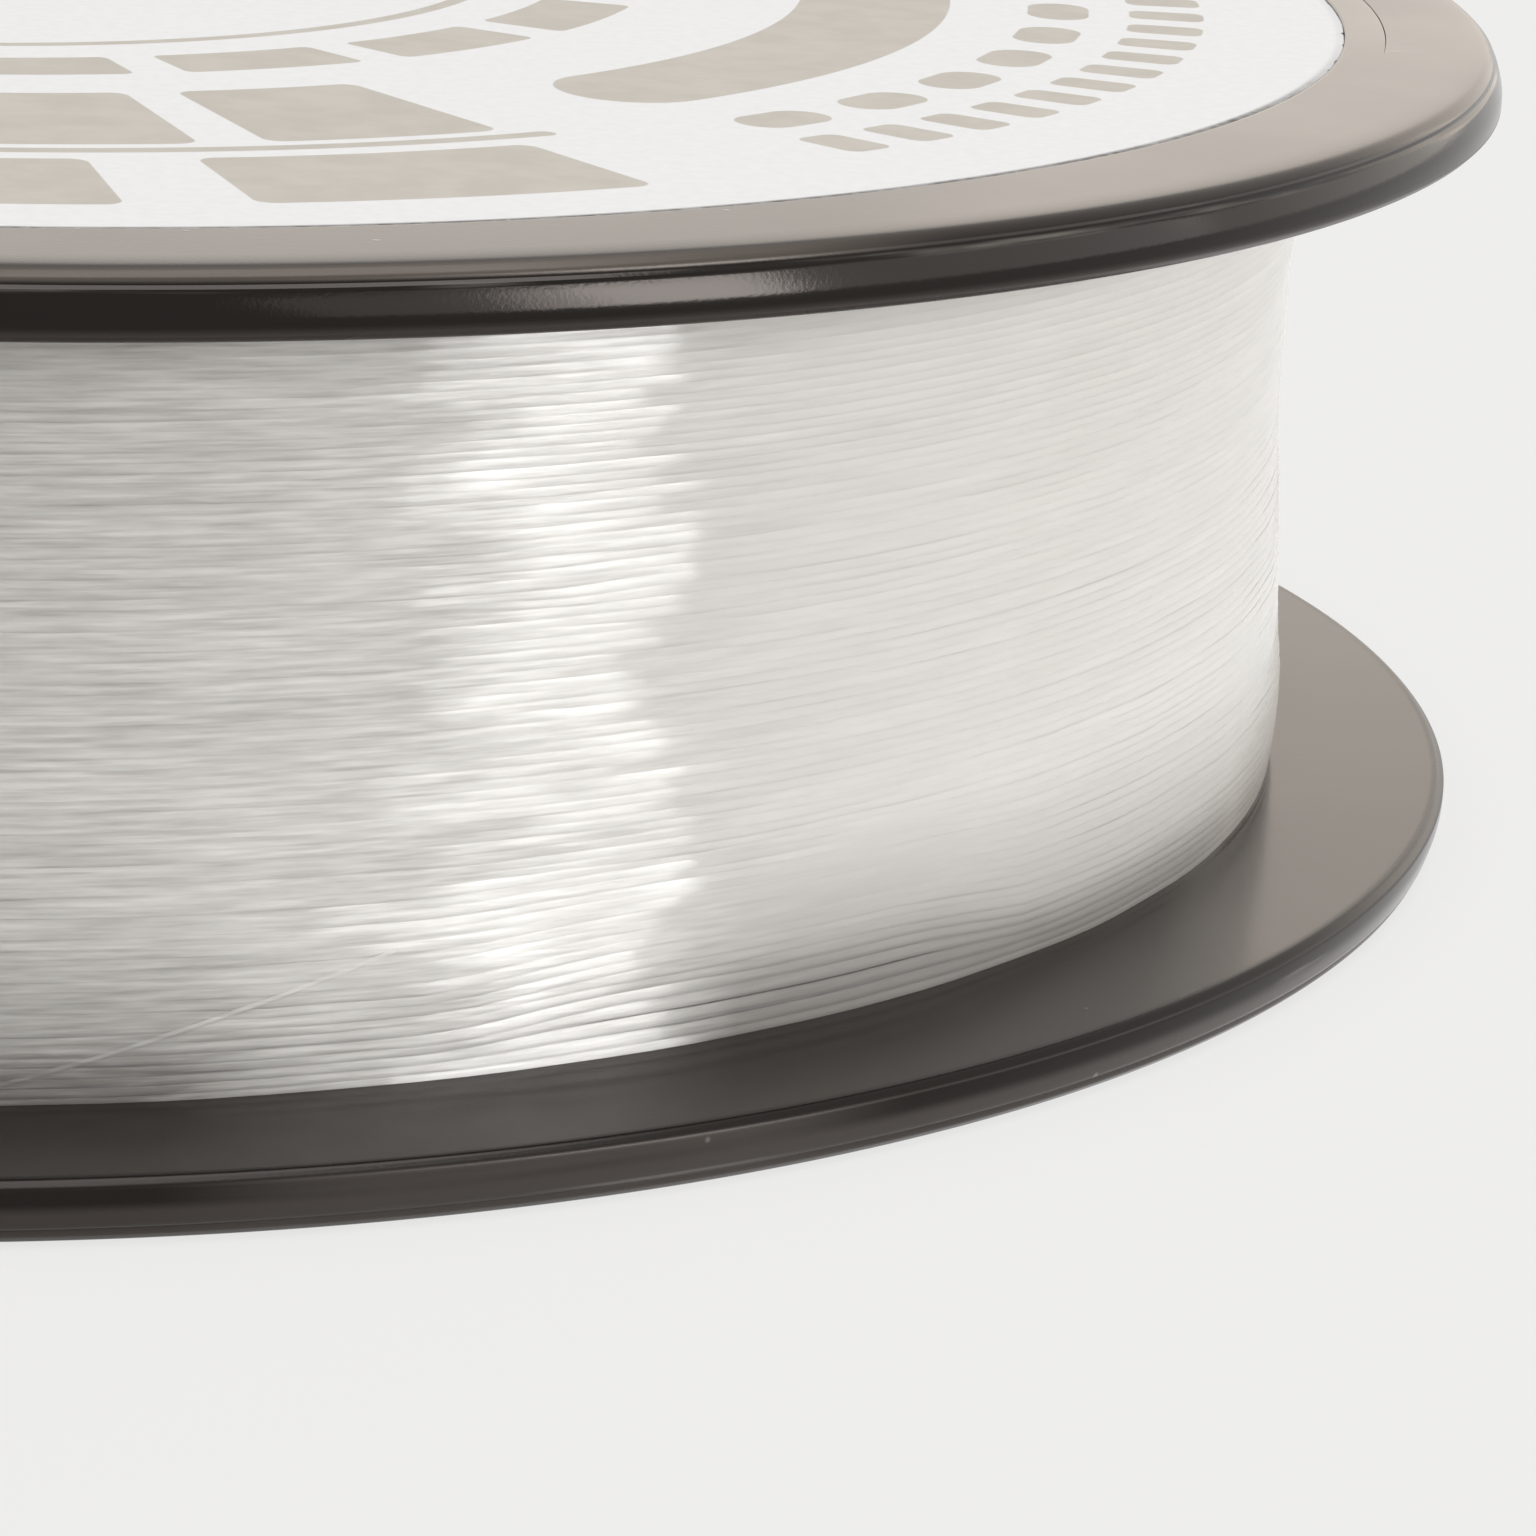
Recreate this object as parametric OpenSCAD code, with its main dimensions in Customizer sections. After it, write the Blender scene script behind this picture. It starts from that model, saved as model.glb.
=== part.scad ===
// Filler spool of monofilament fishing line, in millimetres.
// The spool lies on its lower flange: the axle line is Z and z = 0 is the outer face of that flange.
// Two moulded flanges snap into the ends of a drum and meet in the middle as the arbor tube.
// The line fills the drum's channel, and a paper label fills the recess of the upper flange.

/* [Spool] */
// Width over both flanges
spool_w = 23.6; // [19:0.2:40]
// Diameter of the flanges
flange_d = 95; // [92:0.5:130]

/* [Flange] */
// Thickness of the rim
rim_t = 1.66; // [1.3:0.02:3]
// How much thicker the flange gets from the rim in to the line
face_rise = 0.14; // [0.04:0.02:0.4]
// Width of the rounding between the outer face and the rim
edge_round_w = 0.66; // [0.3:0.02:1]
// Height of the same rounding, up to the parting line of the mould
edge_round_h = 0.41; // [0.2:0.01:0.6]
// Radius of the small rounding on the inner side of the rim
inner_round_r = 0.15; // [0.05:0.05:0.3]
// Width of the flat ring between the rounding and the label's recess
face_ring_w = 4.02; // [3.4:0.02:8]
// Depth of the recess that takes the label
recess_depth = 0.25; // [0.22:0.01:0.5]

/* [Line keeper] */
// Distance from the label recess out to the slit
keeper_inset = 1.2; // [0.8:0.1:2]
// Width of the slit that pinches the line
keeper_slit_w = 0.16; // [0.1:0.02:0.3]
// Angle at which the slit ends, where its tongue is rooted
keeper_root_angle = -16; // [-40:1:0]
// Angle that the slit covers
keeper_sweep = 38; // [20:1:60]
// Width of the entry where it meets the slit
keeper_throat_w = 0.5; // [0.3:0.1:1]
// Width of the entry at the rim
keeper_mouth_w = 3; // [2:0.1:5]

/* [Arbor] */
// Diameter of the hole for a spindle
arbor_bore_d = 8; // [6:0.1:16]
// Wall of the arbor tube
arbor_wall = 2.4; // [2:0.1:4]
// Length of the upper half's spigot inside the lower half's socket
arbor_spigot_l = 4; // [2:0.5:6]
// Chamfer at both mouths of the spindle hole
bore_chamfer = 0.5; // [0.2:0.1:0.8]

/* [Drum] */
// Outer diameter of the drum
drum_d = 81; // [60:0.5:86]
// Wall of the drum
drum_wall = 1.5; // [1.2:0.1:3]
// Height of the ring on each flange that locates the drum
locator_h = 3; // [2.4:0.2:5]
// Wall of the locating ring
locator_wall = 1.5; // [1:0.1:3]
// How far the snap bead stands out of the locating ring
snap_bead_h = 0.3; // [0.2:0.05:0.5]
// Width of the snap bead
snap_bead_w = 0.8; // [0.6:0.1:1.2]
// Hole in the drum that holds the start of the line
anchor_hole_d = 1.5; // [1:0.1:3]

/* [Ribs] */
// Number of ribs behind each flange
rib_count = 6; // [3:1:12]
// Thickness of a rib
rib_t = 1.2; // [0.8:0.1:2]
// Height of a rib
rib_h = 2.2; // [1:0.1:2.3]

/* [Line] */
// Diameter of the line
line_d = 0.26; // [0.2:0.02:0.34]
// Depth of the line wound on the drum
line_depth = 1.7; // [1.2:0.1:3]
// Most turns that the outer layer is drawn with
most_turns = 24; // [8:1:24]
// Least gap between two drawn turns
least_turn_gap = 0.45; // [0.42:0.01:0.8]

/* [Label] */
// Thickness of the label
label_t = 0.2; // [0.1:0.01:0.2]

/* [Fits] */
// Clearance round the label in its recess
label_gap = 0.12; // [0.05:0.01:0.3]
// Clearance between moulded pieces that slide into each other
mould_gap = 0.1; // [0.05:0.01:0.15]
// Clearance between the wound line and what it lies on
line_gap = 0.05; // [0.02:0.01:0.1]

/* [Hidden] */
$fn = 180;
// How far a cut runs past the surface it opens
past = 1;
edge_steps = 5;

flange_r = flange_d / 2;
drum_r = drum_d / 2;
pack_r = drum_r + line_depth;
drum_bore_r = drum_r - drum_wall;
web_t = rim_t + face_rise;
channel_w = spool_w - 2 * web_t;
recess_r = flange_r - edge_round_w - face_ring_w;

// Locating rings and their snap beads
locator_r = drum_bore_r - mould_gap;
bead_mid = locator_h / 2;

// Arbor tube and the joint at its middle
bore_r = arbor_bore_d / 2;
arbor_r = bore_r + arbor_wall;
arbor_half_l = spool_w / 2 - web_t;
arbor_spigot_r = bore_r + (arbor_wall - mould_gap) / 2;
arbor_socket_r = arbor_spigot_r + mould_gap;

// Slit of the line keeper
keeper_r = recess_r + keeper_inset;
keeper_entry_angle = keeper_root_angle + keeper_sweep;

// The outer layer: one tube of flat-sided rings that climbs round the drum
ring_sides = 6;
turn_rings = 24;
bend_rings = 4;
tube_r = line_d / 2;
turn_r = pack_r - tube_r;
bend_r = 1.5 * line_d;
turns_low = web_t + line_gap + line_d + bend_r;
turns_high = spool_w - turns_low;
turn_count = min(most_turns, floor((turns_high - turns_low) / (line_d + least_turn_gap)));
turn_pitch = (turns_high - turns_low) / turn_count;
bend_angle = bend_r / turn_r * 180 / PI;
// The flats of a turn come closest to the axle half way between two rings
inner_layers_r = turn_r * cos(180 / turn_rings) - tube_r - line_gap;

// Outline of a flange from the axle out, its outer face at height 0 and its inner face above
function flange_outline() = concat(
  [[0, recess_depth], [recess_r, recess_depth], [recess_r, 0]],
  [for (k = [0 : edge_steps])
    let (turn = 90 * k / edge_steps)
    [flange_r - edge_round_w * (1 - sin(turn)), edge_round_h * (1 - cos(turn))]],
  [for (k = [0 : edge_steps])
    let (turn = 90 * k / edge_steps)
    [flange_r - inner_round_r * (1 - cos(turn)), rim_t - inner_round_r * (1 - sin(turn))]],
  [[pack_r, web_t], [0, web_t]]
);

// Point on the cylinder that the outer turns lie on
function on_pack(angle, z) = [turn_r * cos(angle), turn_r * sin(angle), z];

// Path of the outer layer as [angle, z, slope], the slope being 90 along the axle and 0 round it
function outer_path() = concat(
  [[-bend_angle, turns_low - bend_r - line_d, 90]],
  [for (k = [0 : bend_rings - 1])
    let (slope = 90 - 90 * k / bend_rings)
    [-bend_angle * sin(slope), turns_low - bend_r * (1 - cos(slope)), slope]],
  [for (k = [0 : turn_count * turn_rings])
    [360 * k / turn_rings, turns_low + turn_pitch * k / turn_rings, 0]],
  [for (k = [1 : bend_rings])
    let (slope = 90 * k / bend_rings)
    [360 * turn_count + bend_angle * sin(slope), turns_high + bend_r * (1 - cos(slope)), slope]],
  [[360 * turn_count + bend_angle, turns_high + bend_r + line_d, 90]]
);

// One ring of the tube, square to the path
function tube_ring(stop) = [
  for (k = [0 : ring_sides - 1])
    let (
      around = 360 * k / ring_sides,
      out = [cos(stop[0]), sin(stop[0]), 0],
      along = [-sin(stop[0]), cos(stop[0]), 0],
      across = [0, 0, 1] * cos(stop[2]) - along * sin(stop[2])
    )
    on_pack(stop[0], stop[1]) + tube_r * (cos(around) * out + sin(around) * across)
];

// Least distance between the tube and itself, taken between rings at least half a turn apart
function least_gap(points) = min([
  for (i = [0 : len(points) - 1])
    for (j = [i + turn_rings / 2 : min(i + turn_rings * 3 / 2, len(points) - 1)])
      norm(points[i] - points[j])
]) - line_d;

module ring(outer_r, inner_r, height) {
  difference() {
    cylinder(r = outer_r, h = height);
    translate([0, 0, -past])
      cylinder(r = inner_r, h = height + 2 * past);
  }
}

// Bead round the locating ring, grown by a clearance where it is cut out of the drum
module snap_bead(grow) {
  half_w = snap_bead_w / 2 + grow;
  rotate_extrude()
    polygon([
      [locator_r - locator_wall / 2, bead_mid - half_w],
      [locator_r, bead_mid - half_w],
      [locator_r + snap_bead_h + grow, bead_mid - snap_bead_w / 6],
      [locator_r + snap_bead_h + grow, bead_mid + snap_bead_w / 6],
      [locator_r, bead_mid + half_w],
      [locator_r - locator_wall / 2, bead_mid + half_w]
    ]);
}

module ribs() {
  rib_from = (bore_r + arbor_r) / 2;
  rib_to = locator_r - locator_wall / 2;
  for (k = [0 : rib_count - 1])
    rotate(360 * k / rib_count)
      translate([rib_from, -rib_t / 2, web_t - face_rise])
        cube([rib_to - rib_from, rib_t, rib_h + face_rise]);
}

// What both flanges share, lying with the outer face down; the arbor half is drawn up to a height
module flange_body(arbor_h) {
  rotate_extrude()
    polygon(flange_outline());
  translate([0, 0, web_t - face_rise])
    ring(locator_r, locator_r - locator_wall, locator_h + face_rise);
  translate([0, 0, web_t])
    snap_bead(0);
  translate([0, 0, web_t - face_rise])
    cylinder(r = arbor_r, h = arbor_h + face_rise);
  ribs();
}

module spindle_hole(height) {
  translate([0, 0, -past])
    cylinder(r = bore_r, h = height + 2 * past);
  translate([0, 0, recess_depth])
    cylinder(r1 = bore_r + bore_chamfer, r2 = bore_r, h = bore_chamfer);
}

// Slit that pinches the loose end of the line, and the entry that leads into it from the rim
module keeper_cut() {
  translate([0, 0, -past])
    rotate(keeper_root_angle)
      rotate_extrude(angle = keeper_sweep)
        translate([keeper_r - keeper_slit_w / 2, 0])
          square([keeper_slit_w, web_t + 2 * past]);
  translate([0, 0, -past])
    rotate(keeper_entry_angle)
      linear_extrude(web_t + 2 * past)
        polygon([
          [keeper_r, -keeper_throat_w / 2],
          [keeper_r + keeper_slit_w, -keeper_throat_w / 2],
          [flange_r + past, -keeper_mouth_w / 2],
          [flange_r + past, keeper_mouth_w / 2],
          [keeper_r + keeper_slit_w, keeper_throat_w / 2],
          [keeper_r, keeper_throat_w / 2]
        ]);
}

module upper_flange() {
  spigot_end = web_t + arbor_half_l + arbor_spigot_l;
  color("#2c2724")
    translate([0, 0, spool_w])
      mirror([0, 0, 1])
        difference() {
          union() {
            flange_body(arbor_half_l - mould_gap);
            translate([0, 0, web_t])
              cylinder(r = arbor_spigot_r, h = spigot_end - web_t);
          }
          spindle_hole(spigot_end);
          keeper_cut();
        }
}

module lower_flange() {
  socket_floor = web_t + arbor_half_l - arbor_spigot_l - mould_gap;
  color("#2c2724")
    difference() {
      flange_body(arbor_half_l);
      spindle_hole(web_t + arbor_half_l);
      translate([0, 0, socket_floor])
        cylinder(r = arbor_socket_r, h = arbor_spigot_l + mould_gap + past);
    }
}

module drum() {
  color("#d8d4ca")
    difference() {
      translate([0, 0, web_t])
        ring(drum_r, drum_bore_r, channel_w);
      translate([0, 0, web_t])
        snap_bead(mould_gap);
      translate([0, 0, spool_w - web_t])
        mirror([0, 0, 1])
          snap_bead(mould_gap);
      translate([0, 0, web_t + locator_h + anchor_hole_d])
        rotate([90, 0, 0])
          cylinder(d = anchor_hole_d, h = drum_r + past);
    }
}

module line_inner_layers() {
  color("#c9cac6")
    translate([0, 0, web_t + line_gap])
      ring(inner_layers_r, drum_r + line_gap, channel_w - 2 * line_gap);
}

module line_outer_turns() {
  path = outer_path();
  rings = len(path);
  points = [for (stop = path) each tube_ring(stop)];
  sides = [
    for (i = [0 : rings - 2])
      for (k = [0 : ring_sides - 1])
        let (
          a = i * ring_sides + k,
          b = i * ring_sides + (k + 1) % ring_sides
        )
        each [[a, b, b + ring_sides], [a, b + ring_sides, a + ring_sides]]
  ];
  first_end = [for (k = [1 : ring_sides - 2]) [0, k + 1, k]];
  last = (rings - 1) * ring_sides;
  last_end = [for (k = [1 : ring_sides - 2]) [last, last + k, last + k + 1]];
  echo(turns = turn_count, turn_pitch = turn_pitch);
  echo(least_gap_to_itself = least_gap([for (stop = path) on_pack(stop[0], stop[1])]));
  color("#dcdcd8")
    polyhedron(points = points, faces = concat(first_end, sides, last_end));
}

module face_label() {
  color("#f2f1ee")
    translate([0, 0, spool_w - recess_depth])
      cylinder(r = recess_r - label_gap, h = label_t);
}

upper_flange();
lower_flange();
drum();
line_inner_layers();
line_outer_turns();
face_label();
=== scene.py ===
"""Filler spool of clear fishing line, lying on its lower flange."""

import math

import bmesh
import bpy
from mathutils import Matrix, Vector, noise


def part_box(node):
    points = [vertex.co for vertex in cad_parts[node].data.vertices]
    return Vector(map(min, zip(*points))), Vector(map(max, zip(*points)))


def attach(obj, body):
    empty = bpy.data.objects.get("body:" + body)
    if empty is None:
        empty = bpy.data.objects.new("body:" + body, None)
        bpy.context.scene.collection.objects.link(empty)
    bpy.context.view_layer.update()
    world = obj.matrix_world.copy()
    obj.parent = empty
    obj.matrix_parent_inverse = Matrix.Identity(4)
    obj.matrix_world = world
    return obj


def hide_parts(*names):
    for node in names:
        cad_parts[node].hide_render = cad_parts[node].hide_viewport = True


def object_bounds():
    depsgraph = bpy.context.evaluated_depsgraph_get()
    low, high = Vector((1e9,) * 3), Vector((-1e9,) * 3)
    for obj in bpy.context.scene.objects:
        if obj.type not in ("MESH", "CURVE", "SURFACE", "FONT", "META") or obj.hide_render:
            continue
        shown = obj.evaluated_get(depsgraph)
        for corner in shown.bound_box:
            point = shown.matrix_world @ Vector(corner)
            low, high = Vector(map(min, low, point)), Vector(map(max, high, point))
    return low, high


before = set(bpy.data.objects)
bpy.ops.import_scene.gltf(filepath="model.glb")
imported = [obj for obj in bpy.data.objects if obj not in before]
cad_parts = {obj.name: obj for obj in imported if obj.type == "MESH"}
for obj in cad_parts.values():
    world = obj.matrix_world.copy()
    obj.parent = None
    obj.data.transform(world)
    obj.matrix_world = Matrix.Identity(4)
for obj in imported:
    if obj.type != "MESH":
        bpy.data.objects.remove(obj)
cad_low, cad_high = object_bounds()


# ---------------------------------------------------------------- camera
# A long lens a hand's width from the rim, a little above the upper flange. It looks past the
# axle to the right, so that the spool runs out of the frame on the left and at the top.
mm = 0.001
scene = bpy.context.scene
scene.view_settings.view_transform = "Standard"

flange_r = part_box("lower_flange")[1].x
spool_w = cad_high.z
spool_middle = Vector((0, 0, spool_w / 2))

camera_reach = 3.99 * flange_r
camera_elevation = math.radians(12.24)
camera_yaw = math.radians(8.08)
camera_pitch = math.radians(3.852)
camera_roll = math.radians(-1.29)
frame_px = 1536
focal_px = 6190
sensor_mm = 36

camera_data = bpy.data.cameras.new("camera")
camera_data.sensor_width = sensor_mm
camera_data.lens = focal_px / frame_px * sensor_mm
camera_data.clip_start = 1 * mm
camera = bpy.data.objects.new("camera", camera_data)
away = Vector((0, -math.cos(camera_elevation), math.sin(camera_elevation)))
turn = (
    Matrix.Rotation(math.pi / 2 - camera_elevation, 4, "X")
    @ Matrix.Rotation(-camera_yaw, 4, "Y")
    @ Matrix.Rotation(-camera_pitch, 4, "X")
    @ Matrix.Rotation(-camera_roll, 4, "Z")
)
camera.matrix_world = Matrix.Translation(spool_middle + away * camera_reach) @ turn
scene.collection.objects.link(camera)
scene.camera = camera


# ---------------------------------------------------------------- studio
# A pale table in a pale room that is darker on the camera's side. An upright softbox with a narrow
# wing and a wide dim reflector stands in front on the right, a long one hangs overhead, a wide warm
# one with a wing stands low behind, and a second warm one stands on the right.
class Flow:
    """A socket of a node tree, written with as a number: each operator adds a Math node."""

    def __init__(self, tree, socket=None):
        self.tree = tree
        self.socket = socket

    def node(self, kind, sockets=(), out=0, **settings):
        """Adds a node: its settings first, then what goes into its sockets."""
        node = self.tree.nodes.new(kind)
        for name, value in settings.items():
            setattr(node, name, value)
        for key, value in dict(sockets).items():
            if isinstance(value, Flow):
                self.tree.links.new(value.socket, node.inputs[key])
            else:
                node.inputs[key].default_value = value
        return Flow(self.tree, node.outputs[out] if node.outputs else None)

    def other(self, out):
        """Another output of the same node."""
        return Flow(self.tree, self.socket.node.outputs[out])

    def math(self, operation, *values):
        values = (self, *values) if self.socket is not None else values
        return self.node("ShaderNodeMath", dict(enumerate(values)), operation=operation)

    def __add__(self, value):
        return self.math("ADD", value)

    def __sub__(self, value):
        return self.math("SUBTRACT", value)

    def __rsub__(self, value):
        return self * -1 + value

    def __mul__(self, value):
        return self.math("MULTIPLY", value)

    def __truediv__(self, value):
        return self.math("DIVIDE", value)

    def __pow__(self, value):
        return self.math("POWER", value)

    def __abs__(self):
        return self.math("ABSOLUTE")

    __radd__ = __add__
    __rmul__ = __mul__

    def most(self, value):
        return self.math("MAXIMUM", value)

    def ease(self, start, end, low=0.0, high=1.0):
        """A smooth step from low at start to high at end, level outside them."""
        sockets = {"Value": self, "From Min": start, "From Max": end, "To Min": low, "To Max": high}
        return self.node("ShaderNodeMapRange", sockets, interpolation_type="SMOOTHSTEP")

    def mix(self, low, high):
        """The colour low where this is 0 and high where it is 1."""
        sockets = {0: self, 6: as_colour(low), 7: as_colour(high)}
        return self.node("ShaderNodeMix", sockets, 2, data_type="RGBA")

    def vector(self, x, y, z):
        return self.node("ShaderNodeCombineXYZ", {0: x, 1: y, 2: z})

    def split(self):
        """The x, y and z of a vector."""
        x = self.node("ShaderNodeSeparateXYZ", {0: self})
        return x, x.other("Y"), x.other("Z")

    def noise(self, place, scale, detail=2.0):
        """Noise from -1 to 1 at a place."""
        sockets = {"Vector": place, "Scale": scale, "Detail": detail}
        return self.node("ShaderNodeTexNoise", sockets) * 2 - 1


def as_colour(value):
    return value if isinstance(value, Flow) or len(value) == 4 else (*value, 1)


def new_material(name):
    """An empty node material and the start of its Flow."""
    material = bpy.data.materials.new(name)
    material.use_nodes = True
    material.node_tree.nodes.clear()
    return material, Flow(material.node_tree)


def softbox(name, azimuth, elevation, reach, width, height, radiance, colour=(1, 1, 1)):
    """An area lamp that faces the spool. Azimuth is measured from +X, anticlockwise from above."""
    lamp = bpy.data.lights.new(name, "AREA")
    lamp.shape = "RECTANGLE"
    lamp.size = width
    lamp.size_y = height
    lamp.energy = radiance * math.pi * width * height
    lamp.color = colour
    lit = bpy.data.objects.new(name, lamp)
    a, e = math.radians(azimuth), math.radians(elevation)
    towards = Vector((math.cos(a) * math.cos(e), math.sin(a) * math.cos(e), math.sin(e)))
    place = spool_middle + towards * reach
    facing_in = towards.to_track_quat("Z", "Y").to_matrix().to_4x4()
    lit.matrix_world = Matrix.Translation(place) @ facing_in
    lit.visible_camera = False
    scene.collection.objects.link(lit)


softbox("key_softbox", azimuth=-37.8, elevation=11.5, reach=1.5, width=0.37, height=0.6, radiance=12.6)
softbox("key_wing", azimuth=-47.4, elevation=11.5, reach=1.5, width=0.14, height=0.6, radiance=6.5)
softbox("key_reflector", azimuth=-28.5, elevation=14, reach=1.6, width=2.3, height=0.8, radiance=1.36)
softbox("top_softbox", azimuth=-52, elevation=74, reach=1.4, width=1.1, height=0.56, radiance=5)
warm = (1, 0.84, 0.67)
half_warm = (1, 0.9, 0.8)
softbox("back_softbox", 68, 13, reach=1.4, width=1.3, height=0.6, radiance=0.6, colour=warm)
softbox("back_wing", 59, 13, reach=1.4, width=1.02, height=0.6, radiance=0.22, colour=warm)
softbox("side_softbox", 27, 9, reach=1.4, width=1.1, height=0.44, radiance=0.72, colour=half_warm)

pale = (0.84, 0.84, 0.835)
room_back = (0.8, 0.785, 0.76)
room_front = (0.07, 0.067, 0.064)
room_top = (0.5, 0.495, 0.49)


def seen_directly(flow):
    """1 for a ray that shows what it meets as it is: from the camera, off a gloss or through glass."""
    ray = flow.node("ShaderNodeLightPath")
    plain = ray.other("Is Camera Ray").most(ray.other("Is Glossy Ray"))
    return plain.most(ray.other("Is Transmission Ray"))


world = bpy.data.worlds.new("room")
world.use_nodes = True
world.node_tree.nodes.clear()
scene.world = world
flow = Flow(world.node_tree)
to_right, to_back, to_top = flow.node("ShaderNodeTexCoord").other("Generated").split()
backward = to_right * 0.7 + to_back * 0.714
sides = backward.ease(-0.5, 0.55).mix(room_front, room_back)
room = to_top.ease(0.15, 0.9).mix(sides, room_top)
lit_room = flow.node("ShaderNodeBackground", {"Color": room, "Strength": 1.0})
seen_room = flow.node("ShaderNodeBackground", {"Color": as_colour(pale), "Strength": 1.0})
chosen = flow.node("ShaderNodeMixShader", {0: seen_directly(flow), 1: lit_room, 2: seen_room})
flow.node("ShaderNodeOutputWorld", {"Surface": chosen})

floor_r = 3.0
floor_glow = 0.8
table_lit = (0.52, 0.507, 0.49)
table_shown = (0.93, 0.93, 0.925)
floor_mesh = bpy.data.meshes.new("floor")
shape = bmesh.new()
bmesh.ops.create_circle(shape, cap_ends=True, segments=96, radius=floor_r)
shape.to_mesh(floor_mesh)
shape.free()
floor = bpy.data.objects.new("floor", floor_mesh)
scene.collection.objects.link(floor)
floor_material, flow = new_material("pale_table")
table = flow.node("ShaderNodeBsdfDiffuse", {"Color": as_colour(table_lit)})
glow = flow.node("ShaderNodeEmission", {"Color": as_colour(table_shown), "Strength": 1.0})
from_below = flow.node("ShaderNodeNewGeometry").other("Backfacing")
seen_table = flow.node("ShaderNodeMixShader", {0: seen_directly(flow) * floor_glow, 1: table, 2: glow})
open_below = flow.node("ShaderNodeBsdfTransparent")
chosen = flow.node("ShaderNodeMixShader", {0: from_below, 1: seen_table, 2: open_below})
flow.node("ShaderNodeOutputMaterial", {"Surface": chosen})
floor_mesh.materials.append(floor_material)


# ---------------------------------------------------------------- flanges
# Two discs of warm black polystyrene, injection moulded with a satin face. Each carries its half
# of the arbor tube, a ring that the drum snaps over and six ribs; the upper one has the keeper slit.
body = "root"
drum_low, drum_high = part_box("drum")
label_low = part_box("face_label")[0]

web_t = drum_low.z
edge_round_w = 0.66 * mm
rim_t = 1.76 * mm
inner_edge = 0.26 * mm
face_ring_w = 4.02 * mm
recess_depth = spool_w - label_low.z
flat_r = flange_r - edge_round_w
recess_r = flat_r - face_ring_w
recess_lip = 0.04 * mm
pack_r = 42.2 * mm
side_draft = 0.18 * mm
parting_step = 0.09 * mm
guard_w = 0.12 * mm

bore_r = 4.0 * mm
bore_chamfer = 0.5 * mm
arbor_r = 6.4 * mm
spigot_r = 5.15 * mm
spigot_l = 4.0 * mm
mould_gap = 0.1 * mm
drum_bore_r = drum_high.x - 1.5 * mm
locator_r = drum_bore_r - mould_gap
locator_wall = 1.5 * mm
locator_h = 3.0 * mm
bead_h = 0.3 * mm
bead_w = 0.8 * mm
arbor_half = spool_w / 2 - web_t

rib_count = 6
rib_t = 1.2 * mm
rib_h = 2.2 * mm
rib_seat = 0.14 * mm

keeper_r = recess_r + 1.2 * mm
keeper_root = math.radians(-16)
keeper_entry = math.radians(22)
slit_mouth_w = 0.17 * mm
slit_w = 0.03 * mm
slit_mouth_depth = 0.009 * mm
slit_fade = math.radians(5)
entry_throat_w = 0.5 * mm
entry_mouth_w = 3.0 * mm
flange_steps = 480


def flange_outline(arbor_l, spigot):
    """Half section of a flange, (radius, height) from its outer face inwards, once round."""
    side_r = flange_r - side_draft
    points = [(bore_r, recess_depth + bore_chamfer), (bore_r + bore_chamfer, recess_depth)]
    points += [(recess_r - guard_w, recess_depth), (recess_r, recess_depth), (recess_r, recess_lip)]
    points += [(recess_r + recess_lip * 0.3, recess_lip * 0.3), (recess_r + recess_lip, 0)]
    points += [(recess_r + guard_w, 0)]
    # The face falls away before its edge, which is broken by a soft chamfer, and below that the wall
    # steps out at the mould's parting line
    chamfer = ((-1, 0), (-0.6, 0.004), (-0.3, 0.014), (-0.1, 0.028), (0.02, 0.042), (0.08, 0.055))
    chamfer += ((0.14, 0.078), (0.19, 0.11), (0.22, 0.135), (0.32, 0.228))
    chamfer += ((0.35, 0.26), (0.375, 0.3), (0.388, 0.35), (0.39, 0.4), (0.39, 0.43))
    points += [(flat_r + r * mm, h * mm) for r, h in chamfer]
    step_from = 0.43 * mm
    top = step_from + parting_step
    points += [(side_r - parting_step * (1 - k), step_from + parting_step * k) for k in (0.15, 0.85, 1)]
    bottom = rim_t - inner_edge
    side_steps = 10
    for k in range(1, side_steps + 1):
        share = k / side_steps
        swell = math.sin(math.pi / 2 * min(1, share * 1.25))
        points.append((side_r + side_draft * swell, top + (bottom - top) * share))
    broken = ((0.03, 0.14), (0.1, 0.28), (0.2, 0.4), (0.28, 0.48), (0.47, 0.67))
    broken += ((0.55, 0.75), (0.7, 0.87), (0.85, 0.96), (1, 1))
    points += [(flange_r - inner_edge * r, bottom + inner_edge * h) for r, h in broken]
    points += [(flange_r - inner_edge - guard_w, rim_t), (pack_r + guard_w, web_t), (pack_r, web_t)]
    points += [(locator_r + guard_w, web_t), (locator_r, web_t)]
    bead = web_t + locator_h / 2
    points += [(locator_r, bead - bead_w / 2), (locator_r + bead_h, bead - bead_w / 6)]
    points += [(locator_r + bead_h, bead + bead_w / 6), (locator_r, bead + bead_w / 2)]
    ring_top = web_t + locator_h
    points += [(locator_r, ring_top), (locator_r - locator_wall, ring_top)]
    points += [(locator_r - locator_wall, web_t), (arbor_r, web_t)]
    if spigot:
        shoulder, end = web_t + arbor_l - mould_gap, web_t + arbor_l + spigot_l
        points += [(arbor_r, shoulder), (spigot_r, shoulder), (spigot_r, end), (bore_r, end)]
    else:
        socket_r, socket = spigot_r + mould_gap, web_t + arbor_l - spigot_l - mould_gap
        points += [(arbor_r, web_t + arbor_l), (socket_r, web_t + arbor_l)]
        points += [(socket_r, socket), (bore_r, socket)]
    return points


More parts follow.
